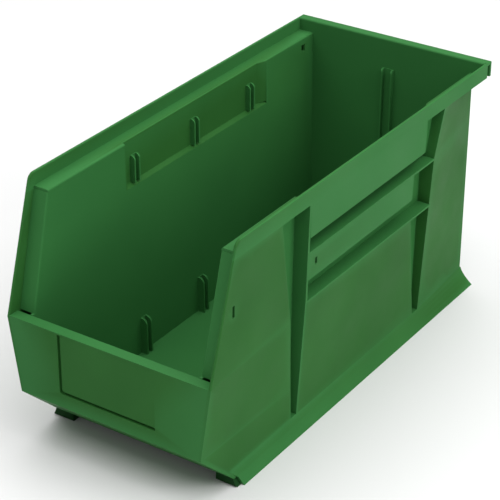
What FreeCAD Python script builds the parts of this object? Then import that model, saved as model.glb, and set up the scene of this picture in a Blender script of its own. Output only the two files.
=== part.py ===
import FreeCAD, Part
import os
import Sketcher

# Stackable hopper-front storage bin, injection moulded in polypropylene.
# Millimetres. +X is the bin's right-hand side seen from the front, the
# hopper opening faces -Y, +Z is up, and the origin is the middle of the
# bin's footprint at the level of the face it rests on.

# Driving dimensions. Heights are above the rest face, distances named
# *_y are measured back from the front end of the side rims, and widths
# named *_half are measured from the middle.
DIMENSIONS = {
    "rim_width": 209.6,
    "overall_length": 462.5,
    "overall_height": 242,
    "stack_pitch": 229.6,
    "wall": 2.6,
    "nose_reach": 37,
    "nose_height": 124,
    "nose_wall": 4.6,
    "nose_ledge": 11,
    "chin_height": 51,
    "chin_half": 94,
    "chin_run": 45,
    "chin_foot_half": 96,
    "floor_top": 11,
    "floor_thick": 2.8,
    "tub_half": 87.2,
    "tub_half_floor": 84.5,
    "recess_depth": 4,
    "recess_front_y": 109.3,
    "recess_taper_y": 321,
    "recess_rear_y": 332,
    "recess_sill": 187,
    "sill_fall": 2.3,
    "strip_top_inset": 8,
    "strip_foot_inset": 13.5,
    "notch_top_y": 65,
    "notch_mid_y": 87,
    "notch_low_y": 98,
    "notch_mid_half": 99.7,
    "upper_band_low": 195,
    "upper_band_rear_y": 304,
    "upper_band_half": 104,
    "middle_band_top": 181,
    "middle_band_low": 154,
    "middle_band_rear_y": 286,
    "middle_band_half": 103.3,
    "lower_panel_top": 134,
    "lower_panel_rear_y": 312,
    "lower_panel_half": 102,
    "shelf_thick": 2,
    "rear_notch_top_y": 336,
    "rear_notch_mid_y": 323,
    "rear_notch_low_y": 322,
    "rear_corner_step": 0.3,
    "skirt_top": 18,
    "skirt_root_half": 94.5,
    "skirt_rear_root_half": 90,
    "skirt_half": 102,
    "skirt_rear_step": 0.5,
    "skirt_rear_flare": 3.4,
    "foot_half": 81.4,
    "foot_front_y": 8,
    "foot_length": 27,
    "foot_inner_half": 76.5,
    "foot_round": 2,
    "hanger_width": 10,
    "label_half": 48.5,
    "label_low": 67,
    "label_gap": 1.5,
    "label_depth": 0.4,
    "groove_width": 2.8,
    "groove_depth": 2.8,
    "guide_front_y": 125,
    "guide_pitch": 91,
    "guide_gap": 5,
    "guide_rib": 1.8,
    "guide_base": 0.6,
    "upper_guide_reach": 5,
    "upper_guide_top": 213,
    "lower_guide_reach": 7,
    "lower_guide_top": 48,
    "back_guide_top": 212,
    "back_guide_gap": 8.6,
    "back_guide_reach": 4.5,
    "rod_hole_y": 395,
    "rod_hole_low": 215.5,
    "rod_hole_width": 6,
    "rod_hole_height": 7,
    "clip_slot_width": 3.2,
    "clip_slot_y": -6,
    "clip_slot_low": 175,
    "clip_slot_height": 11,
    "band_slot_y": 119,
    "band_slot_low": 165.5,
    "band_slot_height": 6.5,
    "edge_round": 1.1,
    "ledge_round": 1.8,
    "corner_round": 8,
}

doc = FreeCAD.newDocument("storage_bin")
sheet = doc.addObject("Spreadsheet::Sheet", "Sheet")
for row, (alias, number) in enumerate(DIMENSIONS.items(), start=1):
    sheet.set(f"A{row}", alias)
    sheet.set(f"B{row}", str(number))
    sheet.setAlias(f"B{row}", alias)
doc.recompute()


class Size:
    """A length held both as a sheet expression and as its present value."""

    def __init__(self, text, value):
        self.text = text
        self.value = float(value)

    def __add__(self, other):
        other = as_size(other)
        return Size(f"({self.text} + {other.text})", self.value + other.value)

    def __sub__(self, other):
        other = as_size(other)
        return Size(f"({self.text} - {other.text})", self.value - other.value)

    def __mul__(self, other):
        other = as_size(other)
        return Size(f"{self.text} * {other.text}", self.value * other.value)

    def __truediv__(self, other):
        other = as_size(other)
        return Size(f"{self.text} / {other.text}", self.value / other.value)

    def __neg__(self):
        return Size(f"(0 - {self.text})", -self.value)


def as_size(length):
    """A Size from a Size or from a plain number."""
    if isinstance(length, Size):
        return length
    return Size(str(length), length)


def dim(alias):
    """The Size of one driving dimension."""
    return Size(f"Sheet.{alias}", DIMENSIONS[alias])


WALL = dim("wall")
TOP = dim("overall_height")
HALF = dim("rim_width") / 2
LIP_INNER = HALF - WALL
NOSE = -(dim("overall_length") / 2)
REAR = dim("overall_length") / 2
BACK = REAR - dim("hanger_width")
RIM_FRONT = NOSE + dim("nose_reach")
NOSE_Z = dim("nose_height")
LEDGE_TOP = dim("stack_pitch")
LEDGE_LOW = LEDGE_TOP - WALL
FLOOR_TOP = dim("floor_top")
FLOOR_LOW = FLOOR_TOP - dim("floor_thick")
SKIRT_TOP = dim("skirt_top")
SKIRT_LOW = SKIRT_TOP - WALL
ZERO = Size("0", 0)

parts = []


def behind(distance):
    """Y of a point this far back from the front end of the side rims."""
    return RIM_FRONT + distance


def tub_inner(height):
    """X of the drafted tub wall's inner face at a height."""
    draft = (dim("tub_half") - dim("tub_half_floor")) / (LEDGE_TOP - FLOOR_TOP)
    return dim("tub_half_floor") + draft * (as_size(height) - FLOOR_TOP)


def tub_outer(height):
    """X of the drafted tub wall's outer face at a height."""
    return tub_inner(height) + WALL


def slope_y(height):
    """Y of the sloping front edge of the side rims at a height."""
    return RIM_FRONT - dim("nose_reach") / (TOP - NOSE_Z) * (TOP - height)


def strip_y(height):
    """Y of the front face of the sloping strips beside the mouth."""
    foot = NOSE + dim("strip_foot_inset")
    head = slope_y(LEDGE_TOP) + dim("strip_top_inset")
    return foot + (head - foot) / (LEDGE_TOP - NOSE_Z) * (height - NOSE_Z)


def chin_y(height):
    """Y of the sloping chin's outer face at a height."""
    lean = dim("chin_run") / (dim("chin_height") - FLOOR_LOW)
    return NOSE + lean * (dim("chin_height") - height)


def new_body(label):
    """An empty body that becomes one sub-part of the bin."""
    body = doc.addObject("PartDesign::Body", label)
    body.Label = label
    parts.append(body)
    return body


def draw(body, plane, at, corners):
    """A closed outline on one of the body's planes, moved along its axis.

    Every corner is held by dimensions tied to the sheet.
    """
    sketch = body.newObject("Sketcher::SketchObject", f"{body.Name}_sketch")
    support = [item for item in body.Origin.OriginFeatures if item.Role == f"{plane}_Plane"]
    sketch.AttachmentSupport = (support[0], [""])
    sketch.MapMode = "FlatFace"
    offset = -at if plane == "XZ" else at
    sketch.AttachmentOffset = FreeCAD.Placement(
        FreeCAD.Vector(0, 0, offset.value), FreeCAD.Rotation())
    sketch.setExpression("AttachmentOffset.Base.z", offset.text)
    points = [FreeCAD.Vector(u.value, v.value, 0) for u, v in corners]
    count = len(points)
    for number in range(count):
        following = points[(number + 1) % count]
        sketch.addGeometry(Part.LineSegment(points[number], following), False)
    for number in range(count):
        following = (number + 1) % count
        sketch.addConstraint(Sketcher.Constraint("Coincident", number, 2, following, 1))
    for number, corner in enumerate(corners):
        for kind, axis, length in (("DistanceX", -2, corner[0]), ("DistanceY", -1, corner[1])):
            if abs(length.value) < 1e-6:
                sketch.addConstraint(Sketcher.Constraint("PointOnObject", number, 1, axis))
                continue
            held = sketch.addConstraint(
                Sketcher.Constraint(kind, -1, 1, number, 1, length.value))
            sketch.setExpression(f"Constraints[{held}]", length.text)
    return sketch


def pad(body, plane, at, corners, length, centred=False):
    """Add a prism that grows from `at` along the plane's axis."""
    feature = body.newObject("PartDesign::Pad", f"{body.Name}_pad")
    feature.Profile = draw(body, plane, at, corners)
    feature.Length = length.value
    feature.setExpression("Length", length.text)
    feature.Reversed = plane == "XZ"
    feature.Midplane = centred
    doc.recompute()
    return feature


def pocket(body, plane, at, corners, length, centred=False):
    """Cut a prism that grows from `at` along the plane's axis."""
    before = body.Shape.Volume
    feature = body.newObject("PartDesign::Pocket", f"{body.Name}_pocket")
    feature.Profile = draw(body, plane, at, corners)
    feature.Length = length.value
    feature.setExpression("Length", length.text)
    feature.Reversed = plane != "XZ"
    feature.Midplane = centred
    doc.recompute()
    if body.Shape.Volume > before - 0.01:
        raise RuntimeError(f"{feature.Name} removes nothing")
    return feature


def loft(body, sections, plane="XY"):
    """Join outlines drawn at different places with straight-ruled faces."""
    sketches = [draw(body, plane, place, corners) for place, corners in sections]
    feature = body.newObject("PartDesign::AdditiveLoft", f"{body.Name}_loft")
    feature.Profile = sketches[0]
    feature.Sections = sketches[1:]
    feature.Ruled = True
    doc.recompute()
    return feature


def soften(body, radius, chosen):
    """Round the edges for which chosen(start, end) is true."""
    base = body.Tip
    names = []
    for number, edge in enumerate(base.Shape.Edges, start=1):
        if chosen(edge.Vertexes[0].Point, edge.Vertexes[-1].Point):
            names.append(f"Edge{number}")
    if not names:
        raise RuntimeError(f"no edge to round on {body.Label}")
    feature = body.newObject("PartDesign::Fillet", f"{body.Name}_round")
    feature.Base = (base, names)
    feature.Radius = radius.value
    feature.setExpression("Radius", radius.text)
    doc.recompute()
    return feature


def near(value, size):
    """True where a coordinate lies on a Size."""
    return abs(value - size.value) < 0.02


def box_corners(low_u, high_u, low_v, high_v):
    """Corners of a rectangle."""
    return [(low_u, low_v), (high_u, low_v), (high_u, high_v), (low_u, high_v)]


def add_left(body):
    """The left-hand twin of a right-hand sub-part."""
    twin = doc.addObject("Part::Mirroring", body.Name.replace("right", "left"))
    twin.Label = body.Label.replace("right", "left")
    twin.Source = body
    twin.Normal = FreeCAD.Vector(1, 0, 0)
    twin.Base = FreeCAD.Vector(0, 0, 0)
    parts.append(twin)


def floor_panel():
    """Flat floor that runs back from the chin under all four walls."""
    body = new_body("floor_panel")
    half = dim("tub_half_floor") + WALL
    corners = [
        (chin_y(FLOOR_LOW) + dim("nose_wall"), FLOOR_LOW),
        (BACK + WALL, FLOOR_LOW),
        (BACK + WALL, FLOOR_TOP),
        (chin_y(FLOOR_TOP) + dim("nose_wall"), FLOOR_TOP),
    ]
    pad(body, "YZ", ZERO, corners, half * 2, centred=True)


def chin_panel():
    """Sloping plate that joins the nose to the floor, wider towards its foot."""
    body = new_body("chin_panel")
    sections = []
    for height, half in ((FLOOR_LOW, dim("chin_foot_half")), (dim("chin_height"), dim("chin_half"))):
        front = chin_y(height)
        sections.append((height, box_corners(-half, half, front, front + dim("nose_wall"))))
    loft(body, sections)


def nose_panel():
    """Low front wall between the side panels, with a grooved card area."""
    body = new_body("nose_panel")
    low = dim("chin_height")
    foot = dim("chin_half") - WALL
    outline = [(-foot, low), (foot, low), (LIP_INNER, NOSE_Z), (-LIP_INNER, NOSE_Z)]
    pad(body, "XZ", NOSE, outline, dim("nose_wall"))
    half = dim("label_half")
    groove = dim("groove_width")
    card_low = dim("label_low")
    high = NOSE_Z - dim("label_gap")
    corner = groove * 0.6
    channel = [
        (-half - groove, high),
        (-half - groove, card_low - groove + corner),
        (-half - groove + corner, card_low - groove),
        (half, card_low - groove),
        (half, card_low),
        (-half + corner, card_low),
        (-half, card_low + corner),
        (-half, high),
    ]
    pocket(body, "XZ", NOSE, channel, dim("groove_depth"))
    card = [
        (-half, high),
        (-half, card_low + corner),
        (-half + corner, card_low),
        (half - corner, card_low),
        (half, card_low + corner),
        (half, high),
    ]
    pocket(body, "XZ", NOSE, card, dim("label_depth"))


def nose_inner(y):
    """X of the front side panel's inner face at the height of the nose."""
    lean = (HALF - dim("notch_mid_half")) / (dim("notch_mid_y") + dim("nose_reach"))
    return LIP_INNER - lean * (y - NOSE)


def nose_ledge():
    """Flat shelf along the top of the nose, between the side panels."""
    body = new_body("nose_ledge")
    front = NOSE + dim("nose_wall")
    rear = NOSE + dim("nose_ledge")
    corners = [
        (-nose_inner(front), front),
        (nose_inner(front), front),
        (nose_inner(rear), rear),
        (-nose_inner(rear), rear),
    ]
    pad(body, "XY", NOSE_Z - WALL, corners, WALL)
    soften(body, dim("edge_round"), lambda a, b: near(a.z, NOSE_Z) and near(b.z, NOSE_Z)
           and near(a.y, rear) and near(b.y, rear))


def tub_front():
    """Inner front wall of the tub, from the nose ledge down to the chin."""
    body = new_body("tub_front")
    inner = NOSE + dim("nose_ledge")
    outer = inner - WALL
    high = NOSE_Z - WALL
    low = FLOOR_TOP
    outline = [
        (-tub_inner(low), low),
        (tub_inner(low), low),
        (tub_inner(high), high),
        (-tub_inner(high), high),
    ]
    pad(body, "XZ", outer, outline, WALL)
    below_chin = [
        (NOSE + dim("nose_wall"), dim("chin_height")),
        (chin_y(FLOOR_LOW) + dim("nose_wall"), FLOOR_LOW),
        (NOSE + dim("nose_wall"), FLOOR_LOW),
    ]
    pocket(body, "YZ", ZERO, below_chin, HALF * 2, centred=True)


def back_wall():
    """Upright back wall of the tub, with rounded outer corners."""
    body = new_body("back_wall")
    outline = [
        (-tub_outer(FLOOR_TOP), FLOOR_TOP),
        (tub_outer(FLOOR_TOP), FLOOR_TOP),
        (tub_outer(SKIRT_TOP), SKIRT_TOP),
        (rear_corner_x(SKIRT_TOP), SKIRT_TOP),
        (rear_corner_x(LEDGE_LOW), LEDGE_LOW),
        (-rear_corner_x(LEDGE_LOW), LEDGE_LOW),
        (-rear_corner_x(SKIRT_TOP), SKIRT_TOP),
        (-tub_outer(SKIRT_TOP), SKIRT_TOP),
    ]
    pad(body, "XZ", BACK, outline, WALL)
    soften(body, dim("ledge_round"), lambda a, b: near(a.y, BACK + WALL)
           and near(b.y, BACK + WALL) and abs(a.z - b.z) > 50)


def rear_rim_wall():
    """Upright wall above the back wall, between the ends of the rims."""
    body = new_body("rear_rim_wall")
    pad(body, "XZ", BACK, box_corners(-LIP_INNER, LIP_INNER, LEDGE_LOW, TOP), WALL)
    soften(body, dim("ledge_round"), lambda a, b: near(a.z, TOP) and near(b.z, TOP)
           and near(a.y, BACK) and near(b.y, BACK))


def rear_flange():
    """Flat top of the hanging channel, which rests on a rail."""
    body = new_body("rear_flange")
    pad(body, "XY", TOP - WALL, box_corners(-HALF, HALF, BACK + WALL, REAR - WALL), WALL)
    soften(body, dim("edge_round"), lambda a, b: near(a.z, TOP) and near(b.z, TOP)
           and near(a.x, as_size(b.x)))


def hanger_lip():
    """Downturned rear edge that hooks over a rail."""
    body = new_body("hanger_lip")
    pad(body, "XY", LEDGE_LOW, box_corners(-HALF, HALF, REAR - WALL, REAR), TOP - LEDGE_LOW)
    soften(body, dim("edge_round"), lambda a, b: near(a.z, TOP) and near(b.z, TOP)
           and not near(a.y + b.y, (REAR - WALL) * 2))


def flare(share):
    """Part of the full flare that the skirt has at a share of its height."""
    return (1 - share) ** 1.4


def rear_skirt_y(share):
    """Y of the rear skirt's outer face at a share of its height."""
    return BACK + WALL + dim("skirt_rear_step") + dim("skirt_rear_flare") * flare(share)


def rear_skirt():
    """Flared foot of the back wall."""
    body = new_body("rear_skirt")
    sections = []
    for share in (0, 0.2, 0.45, 0.7, 1):
        half = skirt_inner_x(share, dim("skirt_rear_root_half"))
        inner = BACK + WALL + dim("skirt_rear_flare") * max(0, 0.4 - share)
        outline = box_corners(-half, half, inner, rear_skirt_y(share))
        sections.append((SKIRT_TOP * share, outline))
    loft(body, sections)


def tub_wall():
    """Drafted side wall of the tub, with an opening for the recess tray."""
    body = new_body("right_tub_wall")
    front = NOSE + dim("nose_ledge") - WALL
    outline = [
        (tub_inner(FLOOR_TOP), FLOOR_TOP),
        (tub_outer(FLOOR_TOP), FLOOR_TOP),
        (tub_outer(LEDGE_LOW), LEDGE_LOW),
        (tub_inner(LEDGE_LOW), LEDGE_LOW),
    ]
    pad(body, "XZ", front, outline, BACK - front)
    before_strip = [
        (NOSE, NOSE_Z - WALL),
        (NOSE + dim("nose_ledge"), NOSE_Z - WALL),
        (NOSE + dim("nose_ledge"), NOSE_Z),
        (strip_y(NOSE_Z) + WALL, NOSE_Z),
        (strip_y(TOP) + WALL, TOP),
        (NOSE, TOP),
    ]
    pocket(body, "YZ", ZERO, before_strip, HALF)
    below_chin = [
        (NOSE + dim("nose_wall"), dim("chin_height")),
        (chin_y(FLOOR_LOW) + dim("nose_wall"), FLOOR_LOW),
        (NOSE + dim("nose_wall"), FLOOR_LOW),
    ]
    pocket(body, "YZ", ZERO, below_chin, HALF)
    pocket(body, "YZ", ZERO, recess_window(), HALF)
    pocket(body, "YZ", ZERO, rod_hole(), HALF)
    add_left(body)


def rod_hole():
    """Side view of the small hole near the top rear corner."""
    front = behind(dim("rod_hole_y"))
    low = dim("rod_hole_low")
    return box_corners(front, front + dim("rod_hole_width"), low, low + dim("rod_hole_height"))


def recess_window():
    """Side view of the space the recess tray takes up."""
    return box_corners(
        behind(dim("recess_front_y")) - WALL, behind(dim("recess_rear_y")) + WALL,
        dim("recess_sill") - WALL, TOP)


def recess_tray():
    """Shallow recess in the side wall that fades out towards the rear."""
    body = new_body("right_recess_tray")
    sill = dim("recess_sill")
    front = behind(dim("recess_front_y"))
    rear = behind(dim("recess_rear_y"))
    face = dim("tub_half") + dim("recess_depth")
    outline = [
        (tub_inner(sill - WALL), sill - WALL),
        (face + WALL, sill - WALL),
        (face + WALL, LEDGE_LOW),
        (tub_inner(LEDGE_LOW), LEDGE_LOW),
    ]
    pad(body, "XZ", front - WALL, outline, rear - front + WALL * 2)
    hollow = [
        (dim("foot_half"), front),
        (face, front),
        (face, behind(dim("recess_taper_y"))),
        (dim("tub_half"), rear),
        (dim("foot_half"), rear),
    ]
    pocket(body, "XY", sill, hollow, LEDGE_TOP - sill)
    sloped_sill = [
        (dim("foot_half"), sill - dim("sill_fall")),
        (dim("tub_half") - 0.4, sill - dim("sill_fall")),
        (face, sill),
        (dim("foot_half"), sill),
    ]
    pocket(body, "XZ", front, sloped_sill, rear - front)
    add_left(body)


def stacking_ledge():
    """Shelf inside the side rim that carries the skirt of the bin above."""
    body = new_body("right_stacking_ledge")
    inner = dim("tub_half")
    set_back = inner + dim("recess_depth")
    front = behind(dim("recess_front_y"))
    corners = [
        (inner, strip_y(LEDGE_TOP)),
        (LIP_INNER, strip_y(LEDGE_TOP)),
        (LIP_INNER, BACK),
        (inner, BACK),
        (inner, behind(dim("recess_rear_y"))),
        (set_back, behind(dim("recess_taper_y"))),
        (set_back, front),
        (inner, front),
    ]
    pad(body, "XY", LEDGE_LOW, corners, WALL)
    soften(body, dim("ledge_round"), lambda a, b: near(a.z, LEDGE_TOP) and near(b.z, LEDGE_TOP)
           and max(a.x, b.x) < set_back.value + 1 and abs(a.y - b.y) > 1)
    add_left(body)


def rim_lip():
    """Upright rim along the top of the side, above the stacking ledge."""
    body = new_body("right_rim_lip")
    corners = [
        (BACK + WALL, TOP),
        (RIM_FRONT, TOP),
        (slope_y(LEDGE_LOW), LEDGE_LOW),
        (BACK + WALL, LEDGE_LOW),
    ]
    pad(body, "YZ", LIP_INNER, corners, WALL)
    soften(body, dim("corner_round"), lambda a, b: near(a.z, TOP) and near(b.z, TOP)
           and near(a.y, RIM_FRONT) and near(b.y, RIM_FRONT))
    soften(body, dim("edge_round"), lambda a, b: near(a.x, as_size(b.x))
           and on_front_edge(a) and on_front_edge(b))
    add_left(body)


def on_front_edge(point):
    """True on the top of the rim and on its sloping front edge."""
    slope = slope_y(as_size(point.z)).value
    return near(point.z, TOP) or abs(point.y - slope) < 0.6


def front_strip():
    """Sloping strip that joins the tub wall to the rim beside the mouth."""
    body = new_body("right_front_strip")
    inside = dim("foot_half")
    foot = strip_y(NOSE_Z)
    head = strip_y(LEDGE_LOW)
    leaning = [(foot, NOSE_Z), (foot + WALL, NOSE_Z), (head + WALL, LEDGE_LOW), (head, LEDGE_LOW)]
    pad(body, "YZ", inside, leaning, LIP_INNER - inside)
    within_tub = [
        (inside, NOSE_Z),
        (tub_inner(NOSE_Z), NOSE_Z),
        (tub_inner(LEDGE_LOW), LEDGE_LOW),
        (inside, LEDGE_LOW),
    ]
    beyond_panel = [
        (nose_inner(foot + WALL), NOSE_Z),
        (LIP_INNER, NOSE_Z),
        (LIP_INNER, LEDGE_LOW),
    ]
    reach = RIM_FRONT - NOSE + dim("corner_round")
    pocket(body, "XZ", NOSE, within_tub, reach)
    pocket(body, "XZ", NOSE, beyond_panel, reach)
    soften(body, dim("ledge_round"), lambda a, b: abs(a.z - b.z) > 50
           and near(min(a.x, b.x), tub_inner(NOSE_Z)) and near(min(a.y, b.y), foot))
    add_left(body)


def notch_front_y(height):
    """Y of the front notch's leading edge at a height."""
    middle = behind(dim("notch_mid_y"))
    if height.value > NOSE_Z.value:
        lean = (dim("notch_top_y") - dim("notch_mid_y")) / (LEDGE_LOW - NOSE_Z)
        return middle + lean * (height - NOSE_Z)
    lean = (dim("notch_low_y") - dim("notch_mid_y")) / (NOSE_Z - SKIRT_TOP)
    return middle + lean * (NOSE_Z - height)


def front_panel_levels():
    """Height and outer corner X of the front side panel, front then rear."""
    return [
        (SKIRT_TOP, dim("skirt_root_half"), dim("skirt_root_half")),
        (dim("chin_height"), dim("chin_half"), dim("skirt_root_half") + 1.5),
        (NOSE_Z, HALF, dim("notch_mid_half")),
        (LEDGE_LOW, HALF, HALF),
    ]


def front_side_panel():
    """Warped outer panel from the sloping front edge back to the notch."""
    body = new_body("right_front_side_panel")
    levels = front_panel_levels()
    chin_fronts = [chin_y(SKIRT_TOP) + dim("nose_wall"), NOSE + dim("nose_wall")]
    slope_fronts = [NOSE, NOSE, slope_y(LEDGE_LOW)]
    for fronts, stretch in ((chin_fronts, levels[:2]), (slope_fronts, levels[1:])):
        sections = []
        for front, (height, front_x, rear_x) in zip(fronts, stretch):
            rear = notch_front_y(height)
            sections.append((height, [
                (front_x, front),
                (rear_x, rear),
                (rear_x - WALL, rear),
                (front_x - WALL, front),
            ]))
        loft(body, sections)
    soften(body, dim("edge_round"), lambda a, b: min(a.z, b.z) > NOSE_Z.value - 1
           and on_front_edge(a) and on_front_edge(b) and abs(a.z - b.z) > 50)
    slot_front = behind(dim("clip_slot_y"))
    slot_low = dim("clip_slot_low")
    slot = box_corners(slot_front, slot_front + dim("clip_slot_width"),
                       slot_low, slot_low + dim("clip_slot_height"))
    pocket(body, "YZ", LIP_INNER - WALL, slot, WALL * 3)
    add_left(body)


def front_panel_web():
    """Web from the tub wall out to the front side panel's rear edge."""
    body = new_body("right_front_panel_web")
    sections = []
    for height, front_x, rear_x in front_panel_levels():
        rear = notch_front_y(height)
        sections.append((height, box_corners(tub_outer(height), rear_x - WALL, rear - WALL, rear)))
    loft(body, sections)
    add_left(body)


def shelf_web():
    """Upright web behind the front notch, which carries the shelves."""
    body = new_body("right_shelf_web")
    tray_face = dim("tub_half") + dim("recess_depth") + WALL
    tray_low = dim("recess_sill") - WALL
    corners = [
        (tub_outer(SKIRT_TOP), SKIRT_TOP),
        (dim("skirt_root_half"), SKIRT_TOP),
        (dim("lower_panel_half"), dim("lower_panel_top")),
        (dim("middle_band_half"), dim("middle_band_top")),
        (HALF, LEDGE_LOW),
        (tray_face, LEDGE_LOW),
        (tray_face, tray_low),
        (tub_outer(tray_low), tray_low),
    ]
    pad(body, "XZ", behind(dim("recess_front_y")) - WALL, corners, WALL)
    add_left(body)


def drafted_band(label, low, high, low_half, high_half, rear):
    """Outer plate between two heights that starts behind the notch web."""
    body = new_body(label)
    front = behind(dim("recess_front_y"))
    corners = [
        (low_half - WALL, low),
        (low_half, low),
        (high_half, high),
        (high_half - WALL, high),
    ]
    pad(body, "XZ", front, corners, rear - front)
    return body


def upper_band():
    """Outer plate under the rim, with its lower rear corner rounded."""
    low = dim("upper_band_low")
    rear = behind(dim("upper_band_rear_y"))
    body = drafted_band("right_upper_band", low, LEDGE_LOW, dim("upper_band_half"), HALF, rear)
    soften(body, dim("corner_round") / 2, lambda a, b: near(a.y, rear) and near(b.y, rear)
           and near(a.z, low) and near(b.z, low))
    add_left(body)


def middle_band():
    """Plain outer plate between the two side channels, with a small slot."""
    high = dim("middle_band_top") - dim("shelf_thick")
    rear = behind(dim("middle_band_rear_y"))
    body = drafted_band("right_middle_band", dim("middle_band_low"), high,
                        dim("middle_band_half") - 0.8, dim("middle_band_half"), rear)
    soften(body, dim("edge_round"), lambda a, b: near(a.y, rear) and near(b.y, rear)
           and near(a.z, dim("middle_band_low")) and near(b.z, dim("middle_band_low")))
    slot_front = behind(dim("band_slot_y"))
    slot_low = dim("band_slot_low")
    slot = box_corners(slot_front, slot_front + dim("clip_slot_width"),
                       slot_low, slot_low + dim("band_slot_height"))
    pocket(body, "YZ", LIP_INNER - WALL, slot, WALL * 3)
    add_left(body)


def shelf(label, top, half, rear):
    """Horizontal rib from the tub wall out to the face of the side."""
    body = new_body(label)
    front = behind(dim("recess_front_y"))
    corners = box_corners(tub_outer(top), half, front, rear)
    pad(body, "XY", top - dim("shelf_thick"), corners, dim("shelf_thick"))
    add_left(body)


def lower_side_panel():
    """Largest outer plate, leaning in towards the skirt."""
    body = new_body("right_lower_side_panel")
    front = behind(dim("recess_front_y"))
    top = dim("lower_panel_top") - dim("shelf_thick")
    levels = (
        (SKIRT_TOP, dim("skirt_root_half"), dim("lower_panel_rear_y")),
        (top, dim("lower_panel_half"), dim("middle_band_rear_y")),
    )
    sections = []
    for height, half, rear in levels:
        sections.append((height, box_corners(half - WALL, half, front, behind(rear))))
    loft(body, sections)
    add_left(body)


def rear_panel_levels():
    """Height, outer X and Y of the rear side panel's front edge."""
    return [
        (SKIRT_TOP, dim("skirt_root_half"), behind(dim("rear_notch_low_y"))),
        (dim("middle_band_top"), dim("middle_band_half"), behind(dim("rear_notch_mid_y"))),
        (LEDGE_LOW, HALF, behind(dim("rear_notch_top_y"))),
    ]


def rear_panel_lean(height, half, front):
    """How fast the rear side panel closes in, in X for each step in Y."""
    return (half - rear_corner_x(height)) / (BACK + WALL - front)


def rear_corner_x(height):
    """X of the outer face at the rear corner of the side."""
    share = (LEDGE_LOW - height) / (LEDGE_LOW - SKIRT_TOP)
    top = tub_outer(LEDGE_LOW) + dim("rear_corner_step")
    return top + (dim("skirt_rear_root_half") - top) * share


def rear_side_panel():
    """Outer panel that closes in on the tub wall towards the rear corner."""
    body = new_body("right_rear_side_panel")
    sections = []
    for height, half, front in rear_panel_levels():
        start = half - rear_panel_lean(height, half, front) * WALL
        sections.append((height, [
            (start, front + WALL),
            (rear_corner_x(height), BACK),
            (tub_outer(height), BACK),
            (start - WALL, front + WALL),
        ]))
    loft(body, sections)
    pocket(body, "YZ", ZERO, rod_hole(), HALF)
    add_left(body)


def rear_panel_web():
    """Web from the tub wall out to the rear side panel's front edge."""
    body = new_body("right_rear_panel_web")
    sections = []
    for height, half, front in rear_panel_levels():
        tub = tub_outer(height)
        sections.append((height, [
            (tub, front),
            (half, front),
            (half - rear_panel_lean(height, half, front) * WALL, front + WALL),
            (tub, front + WALL),
        ]))
    loft(body, sections)
    tray_face = dim("tub_half") + dim("recess_depth") + WALL
    pocket(body, "YZ", ZERO, recess_window(), tray_face)
    add_left(body)


def skirt_x(share, root):
    """X of the side skirt's outer face at a share of its height."""
    return as_size(root) + (dim("skirt_half") - root) * flare(share)


def skirt_inner_x(share, root):
    """X of the side skirt's inner face at a share of the skirt's height."""
    return skirt_x(share, root) - WALL * (1.3 - 0.3 * share)


def skirt_inner(root):
    """Inner line of the flared skirt, from its foot up to the tub wall."""
    line = []
    for share in (0, 0.2, 0.4, 0.6):
        line.append((skirt_inner_x(share, root), SKIRT_TOP * share))
    line.append((root - WALL, SKIRT_LOW))
    line.append((tub_outer(SKIRT_LOW), SKIRT_LOW))
    return line


def skirt_section(root):
    """Closed section of the side skirt with its flat top."""
    line = skirt_inner(root)
    line.append((tub_outer(SKIRT_TOP), SKIRT_TOP))
    for share in (1, 0.8, 0.6, 0.4, 0.2, 0):
        line.append((skirt_x(share, root), SKIRT_TOP * share))
    return line


def side_skirt():
    """Flared foot of the side, hung from the tub wall by a flat top."""
    body = new_body("right_side_skirt")
    front = chin_y(SKIRT_TOP) + dim("nose_wall")
    turn = behind(dim("rear_notch_low_y"))
    rear = rear_skirt_y(0)
    pad(body, "XZ", front, skirt_section(dim("skirt_root_half")), turn - front)
    rear_root = dim("skirt_rear_root_half")
    loft(body, [
        (turn, skirt_section(dim("skirt_root_half"))),
        (BACK + WALL, skirt_section(rear_root)),
        (rear, skirt_section(rear_root)),
    ], plane="XZ")
    chin_foot = chin_y(FLOOR_LOW) + dim("nose_wall")
    front_end = [
        (front, SKIRT_TOP),
        (chin_foot, FLOOR_LOW),
        (chin_foot + WALL, ZERO),
        (front, ZERO),
    ]
    pocket(body, "YZ", ZERO, front_end, HALF)
    rear_end = [(rear_skirt_y(share), SKIRT_TOP * share)
                for share in (0, 0.2, 0.45, 0.7, 1)]
    rear_end.append((rear + WALL, SKIRT_TOP))
    rear_end.append((rear + WALL, ZERO))
    pocket(body, "YZ", ZERO, rear_end, HALF)
    add_left(body)


def front_foot():
    """Block under the floor's front corner that locates on the rim below."""
    body = new_body("right_front_foot")
    root = dim("skirt_root_half")
    corners = [(skirt_inner_x(share, root), SKIRT_TOP * share) for share in (0, 0.2, 0.4)]
    corners.extend([
        (skirt_inner_x(0.6, root), FLOOR_LOW),
        (dim("foot_inner_half"), FLOOR_LOW),
        (dim("foot_inner_half"), ZERO),
    ])
    front = behind(dim("foot_front_y"))
    pad(body, "XZ", front, corners, dim("foot_length"))
    soften(body, dim("foot_round"), lambda a, b: near(a.y, front) and near(b.y, front)
           and (near(a.z, ZERO) and near(b.z, ZERO)
                or near(a.x, dim("foot_inner_half")) and near(b.x, dim("foot_inner_half"))))
    add_left(body)


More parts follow.
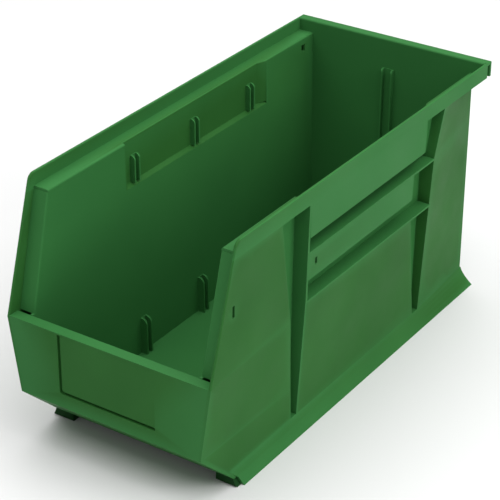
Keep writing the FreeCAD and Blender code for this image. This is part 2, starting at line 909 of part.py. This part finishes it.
def guide(label, plane, centre, low, high, faces, reach, gap_width):
    """Pair of upright ribs on a thin base that hold the edge of a divider.

    faces says where the wall behind it lies at its foot and at its top.
    """
    body = new_body(label)
    base = dim("guide_base")
    low_face, high_face = faces
    outline = [
        (low_face - reach, low),
        (low_face, low),
        (high_face, high),
        (high_face - reach, high),
    ]
    gap = [
        (low_face - reach, low),
        (low_face - base, low),
        (high_face - base, high),
        (high_face - reach, high),
    ]
    pad(body, plane, ZERO, outline, gap_width + dim("guide_rib") * 2, centred=True)
    pocket(body, plane, ZERO, gap, gap_width, centred=True)
    tip = high_face - reach
    across = 0 if plane == "XZ" else 1
    soften(body, reach - base - 0.4, lambda a, b: near(a.z, high) and near(b.z, high)
           and near(a[across], tip) and near(b[across], tip))
    axis = "y" if plane == "XZ" else "x"
    body.setExpression(f"Placement.Base.{axis}", centre.text)
    doc.recompute()
    return body


def divider_guides():
    """Upper and lower guides along both sides, and one on the back wall."""
    gap = dim("guide_gap")
    face = dim("tub_half") + dim("recess_depth")
    low_top = dim("lower_guide_top")
    for number, place in enumerate(("front", "middle", "rear")):
        centre = behind(dim("guide_front_y") + dim("guide_pitch") * number)
        upper = guide(f"right_upper_guide_{place}", "XZ", centre, dim("recess_sill"),
                      dim("upper_guide_top"), (face, face), dim("upper_guide_reach"), gap)
        add_left(upper)
        lower = guide(f"right_lower_guide_{place}", "XZ", centre, FLOOR_TOP, low_top,
                      (tub_inner(FLOOR_TOP), tub_inner(low_top)), dim("lower_guide_reach"), gap)
        add_left(lower)
    guide("back_guide", "YZ", ZERO, FLOOR_TOP, dim("back_guide_top"), (BACK, BACK),
          dim("back_guide_reach"), dim("back_guide_gap"))


floor_panel()
chin_panel()
nose_panel()
nose_ledge()
tub_front()
back_wall()
rear_rim_wall()
rear_flange()
hanger_lip()
rear_skirt()
tub_wall()
recess_tray()
stacking_ledge()
rim_lip()
front_strip()
front_side_panel()
front_panel_web()
shelf_web()
upper_band()
middle_band()
shelf("right_upper_shelf", dim("middle_band_top"), dim("middle_band_half"),
      behind(dim("rear_notch_mid_y")))
shelf("right_lower_shelf", dim("lower_panel_top"), dim("lower_panel_half"),
      behind(dim("rear_notch_low_y")))
lower_side_panel()
rear_side_panel()
rear_panel_web()
side_skirt()
front_foot()
divider_guides()
doc.recompute()

for item in doc.Objects:
    if "Invalid" in item.State or "Error" in item.State:
        raise RuntimeError(f"{item.Name} did not compute: {item.State}")

os.makedirs("parts", exist_ok=True)
for part in parts:
    if part.Shape.isNull() or not part.Shape.isValid() or len(part.Shape.Solids) != 1:
        raise RuntimeError(f"{part.Label} is not one valid solid")
    part.Shape.exportStep(f"parts/{part.Label}.step")
print(len(parts), "sub-parts written")
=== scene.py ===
import math
import bpy
from mathutils import Matrix, Vector


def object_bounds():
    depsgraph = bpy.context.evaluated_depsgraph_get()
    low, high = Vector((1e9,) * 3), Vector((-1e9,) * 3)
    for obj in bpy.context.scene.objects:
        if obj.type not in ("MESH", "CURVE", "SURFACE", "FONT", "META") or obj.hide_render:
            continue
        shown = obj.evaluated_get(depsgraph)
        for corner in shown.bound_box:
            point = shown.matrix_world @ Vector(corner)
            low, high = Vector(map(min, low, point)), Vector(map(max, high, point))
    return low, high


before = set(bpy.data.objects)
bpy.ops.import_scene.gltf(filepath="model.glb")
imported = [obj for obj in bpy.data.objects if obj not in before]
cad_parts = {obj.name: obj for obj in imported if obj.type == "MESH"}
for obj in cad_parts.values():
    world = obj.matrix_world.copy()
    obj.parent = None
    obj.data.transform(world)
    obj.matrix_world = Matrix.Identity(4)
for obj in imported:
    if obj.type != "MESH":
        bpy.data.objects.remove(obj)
cad_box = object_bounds()


# Pigment at its darkest and palest, and the painted highlight on convex edges.
GREEN_LOW = (0.0240, 0.110, 0.0225)
GREEN_HIGH = (0.0305, 0.137, 0.0285)
PAINTED_HIGHLIGHT_GREEN = (0.05, 0.24, 0.075)
PAINTED_HIGHLIGHT_LEVEL = 0.35
PLASTIC_IOR = 1.49
SPECULAR_LEVEL = 0.05
ROUGHNESS_LOW = 0.46
ROUGHNESS_HIGH = 0.60

# The two front feet get painted shade: darker plastic stands in for the shadow under the
# bin's overhang.
FEET_PAINTED_SHADE = 0.3

FLOOR_REACH = 6.0
FLOOR_GREY = 0.76
FLOOR_ROUGHNESS = 0.8
WORLD_STRENGTH = 0.32

# The middle of the rim's front edge lies this far behind the nose, in metres.
RIM_SETBACK = 0.037


# ---------------------------------------------------------------- materials

def link(tree, source, output, target, socket):
    """Join one named output to one named input."""
    tree.links.new(source.outputs[output], target.inputs[socket])


def shaded(colour, shade):
    """A colour darkened by a factor, with full alpha."""
    return (*(channel * shade for channel in colour), 1)


def moulded_plastic(name, shade):
    """Semi-matte green polypropylene with a fine mould texture.

    A shade below 1 darkens it; the feet use this as painted shade.
    """
    material = bpy.data.materials.new(name)
    material.use_nodes = True
    tree = material.node_tree
    tree.nodes.clear()
    output = tree.nodes.new("ShaderNodeOutputMaterial")
    shader = tree.nodes.new("ShaderNodeBsdfPrincipled")
    shader.inputs["IOR"].default_value = PLASTIC_IOR
    shader.inputs["Specular IOR Level"].default_value = SPECULAR_LEVEL
    shader.inputs["Coat Weight"].default_value = 0.0
    shader.inputs["Subsurface Weight"].default_value = 0.0
    link(tree, shader, "BSDF", output, "Surface")

    coords = tree.nodes.new("ShaderNodeTexCoord")

    # Slow flow variation of the pigment, with faint broad mottling.
    flow = tree.nodes.new("ShaderNodeTexNoise")
    flow.inputs["Scale"].default_value = 9.0
    flow.inputs["Detail"].default_value = 3.0
    flow.inputs["Roughness"].default_value = 0.5
    link(tree, coords, "Object", flow, "Vector")
    colour = tree.nodes.new("ShaderNodeValToRGB")
    ramp = colour.color_ramp
    ramp.elements[0].position = 0.3
    ramp.elements[0].color = shaded(GREEN_LOW, shade)
    ramp.elements[1].position = 0.72
    ramp.elements[1].color = shaded(GREEN_HIGH, shade)
    link(tree, flow, "Fac", colour, "Fac")

    # Convex edges get a painted highlight: paler green where rounded edges would catch the
    # light.
    geometry = tree.nodes.new("ShaderNodeNewGeometry")
    edge = tree.nodes.new("ShaderNodeValToRGB")
    edge.color_ramp.elements[0].position = 0.51
    edge.color_ramp.elements[0].color = (0, 0, 0, 1)
    edge.color_ramp.elements[1].position = 0.60
    edge.color_ramp.elements[1].color = (PAINTED_HIGHLIGHT_LEVEL, PAINTED_HIGHLIGHT_LEVEL, PAINTED_HIGHLIGHT_LEVEL, 1)
    link(tree, geometry, "Pointiness", edge, "Fac")
    highlighted_edges = tree.nodes.new("ShaderNodeMix")
    highlighted_edges.data_type = "RGBA"
    highlighted_edges.inputs["B"].default_value = shaded(PAINTED_HIGHLIGHT_GREEN, shade)
    link(tree, edge, "Color", highlighted_edges, "Factor")
    link(tree, colour, "Color", highlighted_edges, "A")
    link(tree, highlighted_edges, "Result", shader, "Base Color")

    # Fine spark-eroded texture from the mould, patchy in its roughness.
    grain = tree.nodes.new("ShaderNodeTexNoise")
    grain.inputs["Scale"].default_value = 950.0
    grain.inputs["Detail"].default_value = 2.0
    link(tree, coords, "Object", grain, "Vector")
    patches = tree.nodes.new("ShaderNodeTexNoise")
    patches.inputs["Scale"].default_value = 22.0
    patches.inputs["Detail"].default_value = 4.0
    link(tree, coords, "Object", patches, "Vector")
    rough = tree.nodes.new("ShaderNodeMapRange")
    rough.inputs["From Min"].default_value = 0.3
    rough.inputs["From Max"].default_value = 0.7
    rough.inputs["To Min"].default_value = ROUGHNESS_LOW
    rough.inputs["To Max"].default_value = ROUGHNESS_HIGH
    link(tree, patches, "Fac", rough, "Value")
    link(tree, rough, "Result", shader, "Roughness")

    # The thin walls draw in a little as they cool, which ripples the sheen.
    ripple = tree.nodes.new("ShaderNodeTexNoise")
    ripple.inputs["Scale"].default_value = 14.0
    ripple.inputs["Detail"].default_value = 1.0
    link(tree, coords, "Object", ripple, "Vector")
    broad = tree.nodes.new("ShaderNodeBump")
    broad.inputs["Strength"].default_value = 0.06
    broad.inputs["Distance"].default_value = 0.004
    link(tree, ripple, "Fac", broad, "Height")
    bump = tree.nodes.new("ShaderNodeBump")
    bump.inputs["Strength"].default_value = 0.12
    bump.inputs["Distance"].default_value = 0.0002
    link(tree, grain, "Fac", bump, "Height")
    link(tree, broad, "Normal", bump, "Normal")
    link(tree, bump, "Normal", shader, "Normal")
    return material


def plain(name, grey, roughness):
    """Plain material in one even grey."""
    material = bpy.data.materials.new(name)
    material.use_nodes = True
    shader = material.node_tree.nodes["Principled BSDF"]
    shader.inputs["Base Color"].default_value = (grey, grey, grey, 1)
    shader.inputs["Roughness"].default_value = roughness
    return material


plastic = moulded_plastic("green_plastic", 1.0)
# Darker copy of the plastic for the feet: painted shade for the shadow beneath the bin.
shaded_feet_plastic = moulded_plastic("painted_shade_plastic", FEET_PAINTED_SHADE)
for name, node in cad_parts.items():
    node.data.materials.clear()
    node.data.materials.append(shaded_feet_plastic if name.endswith("front_foot") else plastic)


# ------------------------------------------------------------ floor and light

def pale_floor():
    """A pale sweep under the bin."""
    mesh = bpy.data.meshes.new("floor_sweep")
    reach = FLOOR_REACH
    corners = [(-reach, -reach, 0), (reach, -reach, 0), (reach, reach, 0), (-reach, reach, 0)]
    mesh.from_pydata([Vector(c) for c in corners], [], [(0, 1, 2, 3)])
    floor = bpy.data.objects.new("floor_sweep", mesh)
    floor.location.z = cad_box[0][2]
    bpy.context.collection.objects.link(floor)
    mesh.materials.append(plain("pale_floor", FLOOR_GREY, FLOOR_ROUGHNESS))


def area_light(name, place, aim, size, power):
    """Soft rectangular light at a place in metres, turned towards `aim`."""
    data = bpy.data.lights.new(name, "AREA")
    data.shape = "RECTANGLE"
    data.size, data.size_y = size
    data.energy = power
    lamp = bpy.data.objects.new(name, data)
    lamp.location = place
    lamp.rotation_euler = (Vector(aim) - Vector(place)).to_track_quat("-Z", "Y").to_euler()
    bpy.context.collection.objects.link(lamp)


pale_floor()
centre = (Vector(cad_box[0]) + Vector(cad_box[1])) / 2
area_light("key", place=(2.3, 0.15, 1.5), aim=centre, size=(1.2, 1.2), power=27)
area_light("top", place=(0.0, 0.1, 2.3), aim=centre, size=(4.2, 4.2), power=108)
area_light("fill", place=(-0.6, -2.4, 1.0), aim=centre, size=(1.6, 1.6), power=1)

# A plain display curve keeps the plastic's saturation and the white floor.
bpy.context.scene.view_settings.view_transform = "Standard"

world = bpy.data.worlds.new("studio")
bpy.context.scene.world = world
world.use_nodes = True
world.node_tree.nodes["Background"].inputs["Color"].default_value = (1, 1, 1, 1)
world.node_tree.nodes["Background"].inputs["Strength"].default_value = WORLD_STRENGTH


# --------------------------------------------------------------------- camera

def photo_camera(azimuth, elevation, roll, lens, aim, shift_across, shift_up, depth):
    """Camera at an azimuth and elevation, with `aim` off the picture's middle.

    The two shifts are in metres, across and up, in the plane of `aim`.
    """
    az, el, turn = (math.radians(a) for a in (azimuth, elevation, roll))
    right = Vector((math.cos(az), math.sin(az), 0))
    back = Vector((math.sin(az) * math.cos(el), -math.cos(az) * math.cos(el), math.sin(el)))
    up = back.cross(right)
    across = right * math.cos(turn) + up * math.sin(turn)
    upward = up * math.cos(turn) - right * math.sin(turn)
    place = Vector(aim) - across * shift_across - upward * shift_up + back * depth
    data = bpy.data.cameras.new("photo_view")
    data.lens = lens
    data.sensor_width = 36.0
    data.clip_start = 0.05
    data.clip_end = 50
    camera = bpy.data.objects.new("photo_view", data)
    turned = Matrix((across, upward, back)).transposed().to_4x4()
    camera.matrix_world = Matrix.Translation(place) @ turned
    bpy.context.collection.objects.link(camera)
    bpy.context.scene.camera = camera


rim_front = (0.0, cad_box[0][1] + RIM_SETBACK, cad_box[1][2])
photo_camera(
    azimuth=33.77,
    elevation=29.09,
    roll=0.18,
    lens=133.2,
    aim=rim_front,
    shift_across=-0.09702,
    shift_up=0.03504,
    depth=1.47939,
)

bpy.context.view_layer.update()
